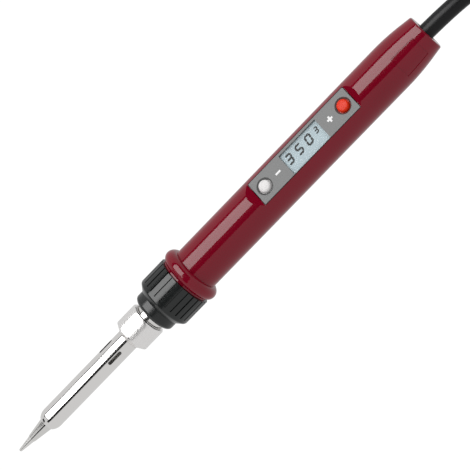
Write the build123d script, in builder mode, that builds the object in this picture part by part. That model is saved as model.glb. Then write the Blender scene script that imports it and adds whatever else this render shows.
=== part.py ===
from build123d import *
import math
import os

# A hand-held soldering iron with its temperature control in the grip, lying on a bench.
# Millimetres. +X runs along the tool's axis from the tip to the cord, and +Z is up, out of the
# control panel. The origin is under the middle of the iron, on the bench that its bead ring touches.
# A station is a distance from the point of the tip, and a height is measured from the tool's axis.

# ---------------------------------------------------------------- driving dimensions

# fits
RUN_FIT = 0.08  # radial clearance of a piece that slides or turns on another
SEAT_GAP = 0.1  # axial gap where two separate bodies meet
LOOSE_GAP = 0.3  # clearance of pieces that pass each other freely
SEAT_FIT = 0.05  # clearance of pieces that are fixed in each other

# tip
TIP_POINT_D = 1.2
TIP_FINE_L = 7.1  # tinned working cone
TIP_FINE_D = 3.0
TIP_STEP = 0.15  # ridge where the plating ends
TIP_CONE_L = 9.0
TIP_NECK_D = 5.95
TIP_FLANGE_L = 1.2
TIP_BARREL_D = 6.5
TIP_BARREL_L = 24.0
TIP_SOLID_L = 2.8  # copper left between the flange and the heater bore

# sleeve
SLEEVE_D = 9.3
SLEEVE_WALL = 0.45
SLEEVE_LIP_L = 1.8
SLEEVE_NOSE_ROUND = 1.15  # how far the dome draws the nose in
SLEEVE_DOME_L = 3.4
SLEEVE_L = 51.4  # from the nose to the rear of its flange
SLEEVE_FLANGE_L = 1.0
SLEEVE_LAND_STEP = 0.17  # the tube is this much thinner inside the nut
SLEEVE_LAND_AHEAD = 0.5  # thinner tube in front of the nut
VENT_L = 7.1
VENT_W = 1.46
VENT_START = 36.1  # from the nose to the vents
VENTS = 4
VENT_ANGLE = 42.0  # of the first vent, from +Y towards +Z

# knurled nut
NUT_WALL = 1.37  # round the bush's thread
NUT_L = 11.7
NUT_FRONT_L = 2.2  # wall that holds the sleeve's flange
NUT_FRONT_CHAMFER = 1.8
NUT_REAR_CHAMFER_L = 0.45
NUT_REAR_CHAMFER = 0.5

# threaded bush
BUSH_THREAD_D = 12.5
BUSH_THREAD_L = 7.4
BUSH_THREAD_DEPTH = 0.55
BUSH_NECK_L = 7.5
BUSH_FLANGE_STEP = 1.0
BUSH_FLANGE_L = 2.0
BUSH_LEAD_BORE_D = 5.2

# heater
HEATER_D = 3.9
HEATER_COLLAR_D = 7.8
HEATER_COLLAR_L = 4.0
HEATER_SEAT_L = 3.0  # depth of the collar below the bush's front face
HEATER_TAIL_L = 10.0  # rod behind the collar
LEAD_D = 1.1

# nipple, the black front ring
NIPPLE_D = 18.2
NIPPLE_FACE_W = 0.6  # flat of the face round the bush
NIPPLE_NOSE_L = 1.9
NIPPLE_AHEAD = 2.7  # from the bush's thread to the nipple's face
NIPPLE_L = 7.2  # from its face to its flange
NIPPLE_FLANGE_L = 2.0
NIPPLE_SPIGOT_L = 5.3
NIPPLE_BORE_D = 10.4

# ribbed nut
RIBBED_WALL = 1.86
RIBBED_FACE_W = 0.27
RIBBED_L = 14.05
RIBBED_CHAMFER_L = 2.2
RIBBED_RIM_L = 1.6
RIBBED_WEB_L = 2.4  # front wall that holds the nipple's flange
GROOVES = 26
GROOVE_W = 0.62
GROOVE_DEPTH = 0.55
GROOVE_ANGLE = 107.0  # of one groove, from +Y towards +Z

# handle
BODY_D = 19.4
BODY_WALL = 2.3
THREAD_WALL = 2.6
NECK_STEP = 0.8  # of the neck above the thread
NECK_L = 0.7
BEAD_R = 2.92
GRIP_L = 108.0  # plain cylinder behind the bead
TAPER_L = 15.75
TAPER_DROP = 1.25
END_L = 3.45
END_DROP = 0.47
END_ROUND = 0.8
REAR_BORE_WALL = 3.7
REAR_BORE_L = 13.5
REAR_WALL = 4.6
FIELD_L = 11.4  # shallow recess on the taper
FIELD_DEPTH = 0.18
FIELD_ARC = 60.0
FIELD_ANGLE = 129.5  # of its middle, from +Y towards +Z

# control panel
PANEL_START = 38.7  # from the end of the bead to the panel
PANEL_L = 52.2
PANEL_W = 11.4
PANEL_T = 0.88
PANEL_ROUND = 0.5
PANEL_DROP = 1.9  # from the top of the grip down to its face
PANEL_RAMP_FRONT = 3.4
PANEL_RAMP_REAR = 2.9
PANEL_SLOT_L = 48.0
PANEL_SLOT_W = 10.0
WINDOW_START = 16.25
WINDOW_L = 19.7
WINDOW_W = 9.9
WINDOW_Y = -0.4
BUTTON_INSET = 4.7  # from the panel's ends to the buttons' centres
BUTTON_D = 5.1
BUTTON_RISE = 0.8  # straight side above the panel
BUTTON_DOME = 0.45
BUTTON_FLANGE_STEP = 0.9  # of the flange beyond the cap
BUTTON_FLANGE_L = 0.6
BUTTON_TRAVEL = 0.5
BUTTON_SINK = 0.6  # countersink of the button's hole

# electronics
BOARD_L = 80.0
BOARD_EDGE = 0.9  # from the board to the bore
BOARD_T = 1.2
BOARD_Z = 0.6
BOARD_AHEAD = 15.2  # board in front of the panel
RAIL_H = 1.0
SWITCH_W = 6.0
PLUNGER_L = 0.3
PLUNGER_D = 3.4
GLASS_T = 1.4
GLASS_W = 9.3
BACKLIGHT_T = 2.2

# cord and plug
CORD_D = 6.8
GROMMET_WALL = 0.95
CLAMP_L = 5.0
CORD_START = 8.0  # jacket inside the handle
LEAD_OUT = 50.0  # from the handle to the hank
HANK_L = 150.0
HANK_FOLD_R = 20.4
HANK_LAYERS = 4
HANK_WAIST_L = 44.0
TIE_L = 12.0
TIE_T = 1.2
TAIL_OUT = 42.0
PLUG_D = 37.5
PLUG_L = 32.0
PLUG_RELIEF_L = 22.0
PIN_D = 4.8
PIN_ROOT_D = 4.0  # inside the plug
PIN_L = 19.0
PIN_PITCH = 19.0

# ---------------------------------------------------------------- stations and radii that follow

body_r = BODY_D / 2
bore_r = body_r - BODY_WALL
thread_r = bore_r + THREAD_WALL
neck_r = thread_r + NECK_STEP
taper_r = body_r - TAPER_DROP
end_r = taper_r - END_DROP
rear_bore_r = body_r - REAR_BORE_WALL
grommet_r = CORD_D / 2 + GROMMET_WALL
panel_z = body_r - PANEL_DROP
sleeve_bore_r = SLEEVE_D / 2 - SLEEVE_WALL
sleeve_flange_r = BUSH_THREAD_D / 2 - SEAT_GAP - 3 * SEAT_FIT
nut_r = BUSH_THREAD_D / 2 + RUN_FIT + NUT_WALL
nut_hole_r = SLEEVE_D / 2 + SEAT_FIT
tip_flange_r = sleeve_bore_r - LOOSE_GAP
bush_neck_r = BUSH_THREAD_D / 2 - BUSH_THREAD_DEPTH
bush_flange_r = bush_neck_r + BUSH_FLANGE_STEP
rib_r = thread_r + RUN_FIT + RIBBED_WALL

nose = TIP_FINE_L + TIP_CONE_L
lip_end = nose + SLEEVE_LIP_L
tip_flange = lip_end + LOOSE_GAP
tip_barrel = tip_flange + TIP_FLANGE_L
tip_rear = tip_barrel + TIP_BARREL_L
heater_bore = tip_barrel + TIP_SOLID_L
sleeve_rear = nose + SLEEVE_L
sleeve_flange = sleeve_rear - SLEEVE_FLANGE_L
nut_front = sleeve_flange - SEAT_GAP - NUT_FRONT_L
nut_rear = nut_front + NUT_L
bush_front = sleeve_rear + SEAT_GAP
bush_neck = bush_front + BUSH_THREAD_L
bush_flange = bush_neck + BUSH_NECK_L
bush_rear = bush_flange + BUSH_FLANGE_L
nipple_face = bush_neck + NIPPLE_AHEAD
nipple_flange = nipple_face + NIPPLE_L
nipple_shoulder = nipple_flange + NIPPLE_FLANGE_L
ribbed_front = nipple_flange - SEAT_GAP - RIBBED_WEB_L
ribbed_rear = ribbed_front + RIBBED_L
handle_front = nipple_shoulder + SEAT_GAP
thread_end = ribbed_rear + SEAT_GAP
bead_front = math.sqrt(BEAD_R**2 - (neck_r - body_r) ** 2)
bead_start = thread_end + NECK_L
bead_middle = bead_start + bead_front
bead_end = bead_middle + BEAD_R
taper_start = bead_end + GRIP_L
end_start = taper_start + TAPER_L
rear = end_start + END_L
bore_end = rear - REAR_WALL
rear_bore_start = bore_end - REAR_BORE_L
panel_front = bead_end + PANEL_START
panel_rear = panel_front + PANEL_L
panel_middle = (panel_front + panel_rear) / 2
minus_station = panel_front + BUTTON_INSET
plus_station = panel_rear - BUTTON_INSET
window_middle = panel_front + WINDOW_START + WINDOW_L / 2
board_front = panel_front - BOARD_AHEAD
board_middle = board_front + BOARD_L / 2
board_top = BOARD_Z + BOARD_T
board_w = 2 * (bore_r - BOARD_EDGE)
pocket_z = panel_z - PANEL_T - 0.02
glass_top = pocket_z - SEAT_GAP
glass_bottom = glass_top - GLASS_T

axis_z = body_r + BEAD_R
origin_x = -rear / 2

tool = Plane(origin=(origin_x, 0, axis_z), x_dir=(1, 0, 0), z_dir=(0, -1, 0))
plan = Plane(origin=(origin_x, 0, axis_z), x_dir=(1, 0, 0), z_dir=(0, 0, 1))
tool_axis = Axis((origin_x, 0, axis_z), (1, 0, 0))


def across(station):
    """The plane that crosses the tool's axis at a station: its x is +Y and its y is +Z."""
    return Plane(origin=(origin_x + station, 0, axis_z), x_dir=(0, 1, 0), z_dir=(1, 0, 0))


def tilted(station, angle):
    """The plane at a station whose normal leaves the tool's axis at an angle from +Y towards +Z."""
    turn = math.radians(angle)
    normal = (0, math.cos(turn), math.sin(turn))
    return Plane(origin=(origin_x + station, 0, axis_z), x_dir=(1, 0, 0), z_dir=normal)


def place(station, y, height):
    """A point in the part's frame, from its station, its side and its height above the axis."""
    return (origin_x + station, y, axis_z + height)


def corner_radii(points, label):
    """The largest soft radius at each corner of a cord's route, which is printed."""
    radii = []
    for before, here, after in zip(points, points[1:], points[2:]):
        first = Vector(*here) - Vector(*before)
        second = Vector(*after) - Vector(*here)
        half_turn = math.radians(first.get_angle(second)) / 2
        radii.append(0.45 * min(first.length, second.length) / math.tan(half_turn))
    print(label, "radii", [round(r, 1) for r in radii])
    return radii


os.makedirs("parts", exist_ok=True)


def keep(builder, label):
    """Labels a finished piece and writes its STEP file."""
    builder.part.label = label
    export_step(builder.part, f"parts/{label}.step")


# ---------------------------------------------------------------- tip, sleeve and knurled nut

# Plated copper tip: a tinned cone, a plain cone, a flange that the sleeve pulls on, and a
# hollow barrel over the heater.
with BuildPart() as soldering_tip:
    with BuildSketch(tool):
        Polygon(
            (0, 0),
            (0, TIP_POINT_D / 2),
            (TIP_FINE_L, TIP_FINE_D / 2),
            (TIP_FINE_L, TIP_FINE_D / 2 + TIP_STEP),
            (nose, TIP_NECK_D / 2),
            (tip_flange, TIP_NECK_D / 2),
            (tip_flange, tip_flange_r),
            (tip_barrel, tip_flange_r),
            (tip_barrel, TIP_BARREL_D / 2),
            (tip_rear, TIP_BARREL_D / 2),
            (tip_rear, HEATER_D / 2 + RUN_FIT),
            (heater_bore, HEATER_D / 2 + RUN_FIT),
            (heater_bore, 0),
            align=None,
        )
    revolve(axis=tool_axis)
    point_edge = soldering_tip.edges().filter_by(GeomType.CIRCLE).sort_by(Axis.X)[0]
    fillet(point_edge, TIP_POINT_D * 0.4)
keep(soldering_tip, "soldering_tip")

# Polished steel sleeve: its lip catches the tip's flange and its own flange sits in the nut.
with BuildPart() as sleeve:
    lip_r = TIP_NECK_D / 2 + RUN_FIT
    land_front = nut_front - SLEEVE_LAND_AHEAD
    with BuildSketch(tool):
        with BuildLine():
            Line((nose, lip_r), (nose, SLEEVE_D / 2 - SLEEVE_NOSE_ROUND))
            dome_end = (nose + SLEEVE_DOME_L, SLEEVE_D / 2)
            TangentArc(dome_end, (nose, SLEEVE_D / 2 - SLEEVE_NOSE_ROUND), tangent=(-1, 0))
            Polyline(
                dome_end,
                (land_front, SLEEVE_D / 2),
                (land_front, SLEEVE_D / 2 - SLEEVE_LAND_STEP),
                (sleeve_flange, SLEEVE_D / 2 - SLEEVE_LAND_STEP),
                (sleeve_flange, sleeve_flange_r),
                (sleeve_rear, sleeve_flange_r),
                (sleeve_rear, sleeve_bore_r),
                (lip_end + SLEEVE_WALL, sleeve_bore_r),
                (lip_end, sleeve_bore_r - SLEEVE_WALL),
                (lip_end, lip_r),
                (nose, lip_r),
            )
        make_face()
    revolve(axis=tool_axis)
    vent_middle = nose + VENT_START + VENT_L / 2
    for i in range(VENTS):
        with BuildSketch(tilted(vent_middle, VENT_ANGLE + i * 360 / VENTS)):
            SlotOverall(VENT_L, VENT_W)
        extrude(amount=SLEEVE_D, mode=Mode.SUBTRACT)
keep(sleeve, "sleeve")

# Knurled nickel-plated nut that pulls the sleeve and the tip back onto the bush.
with BuildPart() as knurled_nut:
    with BuildSketch(tool):
        Polygon(
            (nut_front, nut_hole_r),
            (nut_front, nut_hole_r + 0.17),
            (nut_front + NUT_FRONT_CHAMFER, nut_r),
            (nut_rear - NUT_REAR_CHAMFER_L, nut_r),
            (nut_rear, nut_r - NUT_REAR_CHAMFER),
            (nut_rear, BUSH_THREAD_D / 2 + RUN_FIT),
            (nut_front + NUT_FRONT_L, BUSH_THREAD_D / 2 + RUN_FIT),
            (nut_front + NUT_FRONT_L, nut_hole_r),
            align=None,
        )
    revolve(axis=tool_axis)
keep(knurled_nut, "knurled_nut")

# ---------------------------------------------------------------- front end

# Threaded steel bush, moulded into the nipple. The heater's collar sits in its front.
with BuildPart() as threaded_bush:
    collar_seat = bush_front + HEATER_SEAT_L + HEATER_COLLAR_L + SEAT_GAP
    with BuildSketch(tool):
        Polygon(
            (bush_front, HEATER_COLLAR_D / 2 + SEAT_GAP),
            (bush_front, BUSH_THREAD_D / 2),
            (bush_neck, BUSH_THREAD_D / 2),
            (bush_neck, bush_neck_r),
            (bush_flange, bush_neck_r),
            (bush_flange, bush_flange_r),
            (bush_rear, bush_flange_r),
            (bush_rear, BUSH_LEAD_BORE_D / 2),
            (collar_seat, BUSH_LEAD_BORE_D / 2),
            (collar_seat, HEATER_COLLAR_D / 2 + SEAT_GAP),
            align=None,
        )
    revolve(axis=tool_axis)
keep(threaded_bush, "threaded_bush")

# Ceramic heater: a rod that fills the tip's bore, with a collar.
with BuildPart() as ceramic_heater:
    collar_front = bush_front + HEATER_SEAT_L
    collar_rear = collar_front + HEATER_COLLAR_L
    heater_rear = collar_rear + HEATER_TAIL_L
    with BuildSketch(tool):
        Polygon(
            (heater_bore + 1.0, 0),
            (heater_bore + 1.0, HEATER_D / 2),
            (collar_front, HEATER_D / 2),
            (collar_front, HEATER_COLLAR_D / 2),
            (collar_rear, HEATER_COLLAR_D / 2),
            (collar_rear, HEATER_D / 2),
            (heater_rear, HEATER_D / 2),
            (heater_rear, 0),
            align=None,
        )
    revolve(axis=tool_axis)
    tip_edge = ceramic_heater.edges().filter_by(GeomType.CIRCLE).sort_by(Axis.X)[0]
    chamfer(tip_edge, HEATER_D / 8)
keep(ceramic_heater, "ceramic_heater")

# Black front ring that carries the bush. Its flange is held between the ribbed nut and the handle.
with BuildPart() as nipple:
    bore = bush_neck_r + SEAT_FIT
    flange_bore = bush_flange_r + SEAT_FIT
    spigot_end = nipple_shoulder + NIPPLE_SPIGOT_L
    with BuildSketch(tool):
        with BuildLine():
            Line((nipple_face, bore), (nipple_face, bush_neck_r + NIPPLE_FACE_W))
            nose_end = (nipple_face + NIPPLE_NOSE_L, NIPPLE_D / 2)
            TangentArc(nose_end, (nipple_face, bush_neck_r + NIPPLE_FACE_W), tangent=(-1, 0))
            Polyline(
                nose_end,
                (nipple_flange, NIPPLE_D / 2),
                (nipple_flange, thread_r - SEAT_FIT),
                (nipple_shoulder, thread_r - SEAT_FIT),
                (nipple_shoulder, bore_r - 4 * SEAT_FIT),
                (spigot_end, bore_r - 4 * SEAT_FIT),
                (spigot_end, NIPPLE_BORE_D / 2),
                (bush_rear + SEAT_FIT, NIPPLE_BORE_D / 2),
                (bush_rear + SEAT_FIT, flange_bore),
                (bush_flange - SEAT_FIT, flange_bore),
                (bush_flange - SEAT_FIT, bore),
                (nipple_face, bore),
            )
        make_face()
    revolve(axis=tool_axis)
keep(nipple, "nipple")

# Brass earth ring behind the bush, with a tab for the earth wire.
with BuildPart() as earth_ring:
    ring_front = bush_rear + 2 * SEAT_FIT
    ring_t = 0.6
    with BuildSketch(across(ring_front)):
        Circle(NIPPLE_BORE_D / 2 - SEAT_GAP)
        Circle(BUSH_LEAD_BORE_D / 2 + SEAT_FIT, mode=Mode.SUBTRACT)
    extrude(amount=ring_t)
    with BuildSketch(across(ring_front)):
        with Locations((0, -(NIPPLE_BORE_D / 2 - SEAT_GAP - 0.8))):
            Rectangle(2.4, 0.6)
    extrude(amount=5.0)
keep(earth_ring, "earth_ring")

# Two heater leads and two sensor leads, from the heater's tail to pads on the circuit board.
with BuildPart() as heater_leads:
    lead_start = heater_rear + SEAT_FIT
    pad_height = board_top + LEAD_D / 2 + SEAT_FIT
    for side in (-1, 1):
        for row in (-1, 1):
            near = side * 0.75
            far = side * (1.2 + (row + 1))
            height = row * 0.75
            path_points = [
                place(lead_start, near, height),
                place(lead_start + 10, near, height),
                place(board_front - 6, far, pad_height),
                place(board_front + 3, far, pad_height),
            ]
            with BuildLine() as lead_path:
                FilletPolyline(*path_points, radius=8)
            with BuildSketch(across(lead_start)):
                with Locations((near, height)):
                    Circle(LEAD_D / 2)
            sweep(path=lead_path.wire())
keep(heater_leads, "heater_leads")

# Ribbed black nut that screws onto the handle and holds the nipple.
with BuildPart() as ribbed_nut:
    ribbed_bore = thread_r + RUN_FIT
    web_bore = NIPPLE_D / 2 + RUN_FIT
    web_end = ribbed_front + RIBBED_WEB_L
    with BuildSketch(tool):
        Polygon(
            (ribbed_front, web_bore),
            (ribbed_front, web_bore + RIBBED_FACE_W),
            (ribbed_front + RIBBED_CHAMFER_L, rib_r),
            (ribbed_rear, rib_r),
            (ribbed_rear, ribbed_bore),
            (web_end, ribbed_bore),
            (web_end, web_bore),
            align=None,
        )
    revolve(axis=tool_axis)
    groove_front = ribbed_front + RIBBED_CHAMFER_L + RIBBED_RIM_L
    with BuildSketch(across(groove_front)):
        with PolarLocations(rib_r, GROOVES, start_angle=GROOVE_ANGLE):
            Rectangle(2 * GROOVE_DEPTH, GROOVE_W)
    extrude(amount=ribbed_rear - groove_front, mode=Mode.SUBTRACT)
keep(ribbed_nut, "ribbed_nut")

# ---------------------------------------------------------------- handle

# One-piece moulded barrel: thread, neck, bead ring, grip and tapered rear, bored from the front.
with BuildPart() as handle_shell:
    with BuildSketch(tool):
        with BuildLine():
            bead_foot = (bead_start, neck_r)
            Polyline(
                (handle_front, bore_r),
                (handle_front, thread_r),
                (thread_end, thread_r),
                (thread_end, neck_r),
                bead_foot,
            )
            ThreePointArc(bead_foot, (bead_middle, body_r + BEAD_R), (bead_end, body_r))
            Line((bead_end, body_r), (taper_start, body_r))
            TangentArc((taper_start, body_r), (end_start, taper_r), tangent=(1, 0))
            Polyline(
                (end_start, taper_r),
                (rear, end_r),
                (rear, grommet_r + SEAT_FIT),
                (bore_end, grommet_r + SEAT_FIT),
                (bore_end, rear_bore_r),
                (rear_bore_start, rear_bore_r),
                (rear_bore_start, bore_r),
                (handle_front, bore_r),
            )
        make_face()
    revolve(axis=tool_axis)
    rear_edges = handle_shell.edges().filter_by(GeomType.CIRCLE).group_by(Axis.X)[-1]
    fillet(rear_edges.sort_by(SortBy.RADIUS)[-1], END_ROUND)
    # rails that the circuit board rests on
    with BuildSketch(across(board_front)):
        rail_w = 1.6
        with Locations((bore_r - 0.7, BOARD_Z - SEAT_FIT - RAIL_H / 2)):
            Rectangle(rail_w, RAIL_H)
        with Locations((0.7 - bore_r, BOARD_Z - SEAT_FIT - RAIL_H / 2)):
            Rectangle(rail_w, RAIL_H)
    extrude(amount=BOARD_L)
    # flat with sloped ends across the top, for the control panel
    with BuildSketch(tool):
        Polygon(
            (panel_front, panel_z),
            (panel_front - 2 * PANEL_RAMP_FRONT, panel_z + 2 * PANEL_DROP),
            (panel_rear + 2 * PANEL_RAMP_REAR, panel_z + 2 * PANEL_DROP),
            (panel_rear, panel_z),
            align=None,
        )
    extrude(amount=BODY_D, both=True, mode=Mode.SUBTRACT)
    with BuildSketch(plan.offset(pocket_z)):
        with Locations((panel_middle, 0)):
            RectangleRounded(
                PANEL_L + 4 * SEAT_FIT, PANEL_W + 4 * SEAT_FIT, PANEL_ROUND + 2 * SEAT_FIT
            )
    extrude(amount=BODY_D, mode=Mode.SUBTRACT)
    with BuildSketch(plan.offset(board_top)):
        with Locations((panel_middle, 0)):
            RectangleRounded(PANEL_SLOT_L, PANEL_SLOT_W, 1.0)
    extrude(amount=panel_z, mode=Mode.SUBTRACT)
    # shallow field on the taper
    field_front = taper_start + 3.1
    field_turn = math.radians(FIELD_ANGLE - FIELD_ARC / 2 - 90)
    field_plane = Plane(
        origin=(origin_x, 0, axis_z),
        x_dir=(1, 0, 0),
        z_dir=(0, -math.cos(field_turn), -math.sin(field_turn)),
    )
    taper_bend = (TAPER_L**2 + TAPER_DROP**2) / (2 * TAPER_DROP)

    def taper_radius(station):
        """The handle's radius at a station on its taper."""
        run = station - taper_start
        return body_r - taper_bend + math.sqrt(taper_bend**2 - run**2)

    field_rear = field_front + FIELD_L
    field_middle = (field_front + field_rear) / 2
    field_floor = [
        (s, taper_radius(s) - FIELD_DEPTH) for s in (field_front, field_middle, field_rear)
    ]
    with BuildSketch(field_plane):
        with BuildLine():
            ThreePointArc(*field_floor)
            Polyline(field_floor[2], (field_rear, body_r + 1), (field_front, body_r + 1), field_floor[0])
        make_face()
    revolve(axis=tool_axis, revolution_arc=FIELD_ARC, mode=Mode.SUBTRACT)
keep(handle_shell, "handle_shell")

# ---------------------------------------------------------------- control panel

# Grey panel with a countersunk hole for each button and an opening for the display.
with BuildPart() as control_panel:
    with BuildSketch(plan.offset(panel_z - PANEL_T)):
        with Locations((panel_middle, 0)):
            RectangleRounded(PANEL_L, PANEL_W, PANEL_ROUND)
        with Locations((window_middle, WINDOW_Y)):
            Rectangle(WINDOW_L, WINDOW_W, mode=Mode.SUBTRACT)
        with Locations((minus_station, 0), (plus_station, 0)):
            Circle(BUTTON_D / 2 + LOOSE_GAP, mode=Mode.SUBTRACT)
    extrude(amount=PANEL_T)
    button_holes = control_panel.faces().sort_by(Axis.Z)[-1].edges().filter_by(GeomType.CIRCLE)
    chamfer(button_holes.filter_by(lambda e: e.radius > PANEL_ROUND + 0.5), BUTTON_SINK)
keep(control_panel, "control_panel")

# Clear window, flush with the panel.
with BuildPart() as display_window:
    with BuildSketch(plan.offset(panel_z - PANEL_T)):
        with Locations((window_middle, WINDOW_Y)):
            Rectangle(WINDOW_L - 2 * SEAT_FIT, WINDOW_W - 2 * SEAT_FIT)
    extrude(amount=PANEL_T)
keep(display_window, "display_window")

# Liquid crystal glass on its backlight, with two rows of pins down to the board.
with BuildPart() as display_module:
    backlight_bottom = glass_bottom - BACKLIGHT_T
    with BuildSketch(plan.offset(glass_bottom)):
        with Locations((window_middle, WINDOW_Y / 2)):
            Rectangle(WINDOW_L - 0.4, GLASS_W)
    extrude(amount=GLASS_T)
    with BuildSketch(plan.offset(backlight_bottom)):
        with Locations((window_middle, WINDOW_Y / 2)):
            Rectangle(WINDOW_L - 1.6, GLASS_W - 0.8)
    extrude(amount=BACKLIGHT_T)
    with BuildSketch(plan.offset(board_top + SEAT_FIT)):
        with Locations((window_middle, WINDOW_Y / 2)):
            with GridLocations(2.54, GLASS_W - 1.8, 6, 2):
                Rectangle(0.5, 0.5)
    extrude(amount=backlight_bottom - board_top - SEAT_FIT)
keep(display_module, "display_module")

# A button: a domed cap with a flange that stays under the panel and a boss over its switch.
for button_name, button_station in (("minus_button", minus_station), ("plus_button", plus_station)):
    with BuildPart() as button:
        cap_r = BUTTON_D / 2
        flange_r = cap_r + BUTTON_FLANGE_STEP
        flange_top = panel_z - PANEL_T - LOOSE_GAP
        flange_bottom = flange_top - BUTTON_FLANGE_L
        cap_rim = panel_z + BUTTON_RISE
        cap_top = cap_rim + BUTTON_DOME
        side = Plane(origin=place(button_station, 0, 0), x_dir=(1, 0, 0), z_dir=(0, -1, 0))
        with BuildSketch(side):
            with BuildLine():
                Polyline(
                    (0, cap_top),
                    (0, flange_bottom - SEAT_FIT),
                    (PLUNGER_D / 2, flange_bottom - SEAT_FIT),
                    (PLUNGER_D / 2, flange_bottom),
                    (flange_r, flange_bottom),
                    (flange_r, flange_top),
                    (cap_r, flange_top),
                    (cap_r, cap_rim),
                )
                dome_r = (cap_r**2 + BUTTON_DOME**2) / (2 * BUTTON_DOME)
                dome_half = math.sqrt(dome_r**2 - (cap_r / 2) ** 2) - (dome_r - BUTTON_DOME)
                ThreePointArc((cap_r, cap_rim), (cap_r / 2, cap_rim + dome_half), (0, cap_top))
            make_face()
        revolve(axis=Axis(place(button_station, 0, 0), (0, 0, 1)))
        rim = button.edges().filter_by(GeomType.CIRCLE).filter_by(
            lambda e: abs(e.radius - cap_r) < 0.01 and e.center().Z > axis_z + panel_z
        )
        fillet(rim, 0.2)
    keep(button, button_name)

# ---------------------------------------------------------------- electronics

# Circuit board on the rails of the handle.
with BuildPart() as circuit_board:
    with BuildSketch(plan.offset(BOARD_Z)):
        with Locations((board_middle, 0)):
            RectangleRounded(BOARD_L - 2 * SEAT_FIT, board_w, 0.8)
    extrude(amount=BOARD_T)
keep(circuit_board, "circuit_board")

# Two tact switches: a square case with a round plunger.
with BuildPart() as tact_switches:
    button_sites = ((minus_station, 0), (plus_station, 0))
    plunger_top = flange_bottom - SEAT_FIT - BUTTON_TRAVEL - SEAT_GAP
    case_top = plunger_top - PLUNGER_L
    with BuildSketch(plan.offset(board_top + SEAT_FIT)):
        with Locations(*button_sites):
            RectangleRounded(SWITCH_W, SWITCH_W, 0.4)
    extrude(amount=case_top - board_top - SEAT_FIT)
    with BuildSketch(plan.offset(case_top)):
        with Locations(*button_sites):
            Circle(PLUNGER_D / 2)
    extrude(amount=PLUNGER_L)
keep(tact_switches, "tact_switches")

# Parts soldered to the board: controller and triac on top, capacitor and resistors below.
with BuildPart() as board_components:
    with BuildSketch(plan.offset(board_top + SEAT_FIT)):
        with Locations((board_front + 10, 0)):
            Rectangle(6.5, 6.2)
        with Locations((board_front + BOARD_L - 7, 0)):
            Rectangle(6.0, 4.4)
    extrude(amount=1.5)
    with BuildSketch(plan.offset(BOARD_Z - SEAT_FIT)):
        with Locations((board_front + 18, 0)):
            Rectangle(9.0, 6.0)
        with Locations((board_front + 34, 0), (board_front + 40, 0)):
            Rectangle(3.2, 1.6)
    extrude(amount=-1.2)
    with BuildSketch(across(board_front + 50)):
        with Locations((0, BOARD_Z - SEAT_FIT - 2.6)):
            Circle(2.5)
    extrude(amount=11.0)
keep(board_components, "board_components")

# ---------------------------------------------------------------- cord entry

# Soft bush in the hole of the rear wall.
with BuildPart() as cord_grommet:
    with BuildSketch(across(bore_end)):
        Circle(grommet_r)
        Circle(CORD_D / 2 + SEAT_FIT, mode=Mode.SUBTRACT)
    extrude(amount=REAR_WALL - 0.3)
    mouth = cord_grommet.edges().filter_by(GeomType.CIRCLE).group_by(Axis.X)[-1]
    fillet(mouth.sort_by(SortBy.RADIUS)[0], 0.3)
keep(cord_grommet, "cord_grommet")

# Crimped collar on the jacket, which can't pull out through the rear wall.
with BuildPart() as cord_clamp:
    with BuildSketch(across(bore_end - SEAT_GAP - CLAMP_L)):
        RegularPolygon(rear_bore_r - 4 * SEAT_FIT, 8)
        Circle(CORD_D / 2 + SEAT_FIT, mode=Mode.SUBTRACT)
    extrude(amount=CLAMP_L)
keep(cord_clamp, "cord_clamp")

# Live and neutral wires, from the end of the jacket to pads at the rear of the board.
jacket_front = rear - CORD_START
with BuildPart() as mains_wires:
    wire_r = 1.15
    wire_start = jacket_front - SEAT_FIT
    pad_end = board_front + BOARD_L - 3
    pad_y = board_w / 2 - 1.6
    for side in (-1, 1):
        path_points = [
            place(wire_start, side * 1.3, 1.0),
            place(wire_start - 4, side * 1.3, 1.0),
            place(pad_end + 3, side * pad_y, board_top + wire_r + SEAT_FIT),
            place(pad_end, side * pad_y, board_top + wire_r + SEAT_FIT),
        ]
        with BuildLine() as wire_path:
            FilletPolyline(*path_points, radius=2.5)
        with BuildSketch(across(wire_start)):
            with Locations((side * 1.3, 1.0)):
                Circle(wire_r)
        sweep(path=wire_path.wire())
keep(mains_wires, "mains_wires")

# Earth wire, under the board from the jacket to the tab of the earth ring.
with BuildPart() as earth_wire:
    low = -(bore_r - wire_r - LOOSE_GAP)
    tab_z = -(NIPPLE_BORE_D / 2 - SEAT_GAP - 0.8)
    path_points = [
        place(wire_start, 0, -1.6),
        place(wire_start - 4, 0, -1.6),
        place(pad_end - 4, 0, low),
        place(board_front - 8, 0, low),
        place(spigot_end + 10, 0, tab_z + 1.5),
        place(spigot_end + 1, 0, tab_z + 1.5),
    ]
    with BuildLine() as earth_path:
        FilletPolyline(*path_points, radius=6)
    with BuildSketch(across(wire_start)):
        with Locations((0, -1.6)):
            Circle(wire_r)
    sweep(path=earth_path.wire())
keep(earth_wire, "earth_wire")

# ---------------------------------------------------------------- cord

cord_r = CORD_D / 2
rear_x = origin_x + rear
hank_front = rear_x + LEAD_OUT
hank_rear = hank_front + HANK_L
layer_z = [cord_r + i * CORD_D for i in range(HANK_LAYERS)]
plug_z = PLUG_D / 2
relief_front = hank_rear + TAIL_OUT


def cord_tube(points, label):
    """Sweeps the cord's round section along a route, and prints its volume against its length."""
    start = Vector(*points[0])
    direction = (Vector(*points[1]) - start).normalized()
    with BuildPart() as tube:
        with BuildLine() as route:
            FilletPolyline(*points, radius=corner_radii(points, label))
        with BuildSketch(Plane(origin=start, x_dir=(0, 1, 0), z_dir=direction)):
            Circle(cord_r)
        sweep(path=route.wire())
    expected = math.pi * cord_r**2 * route.wire().length
    print(label, "volume", round(tube.part.volume), "of", round(expected))
    keep(tube, label)


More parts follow.
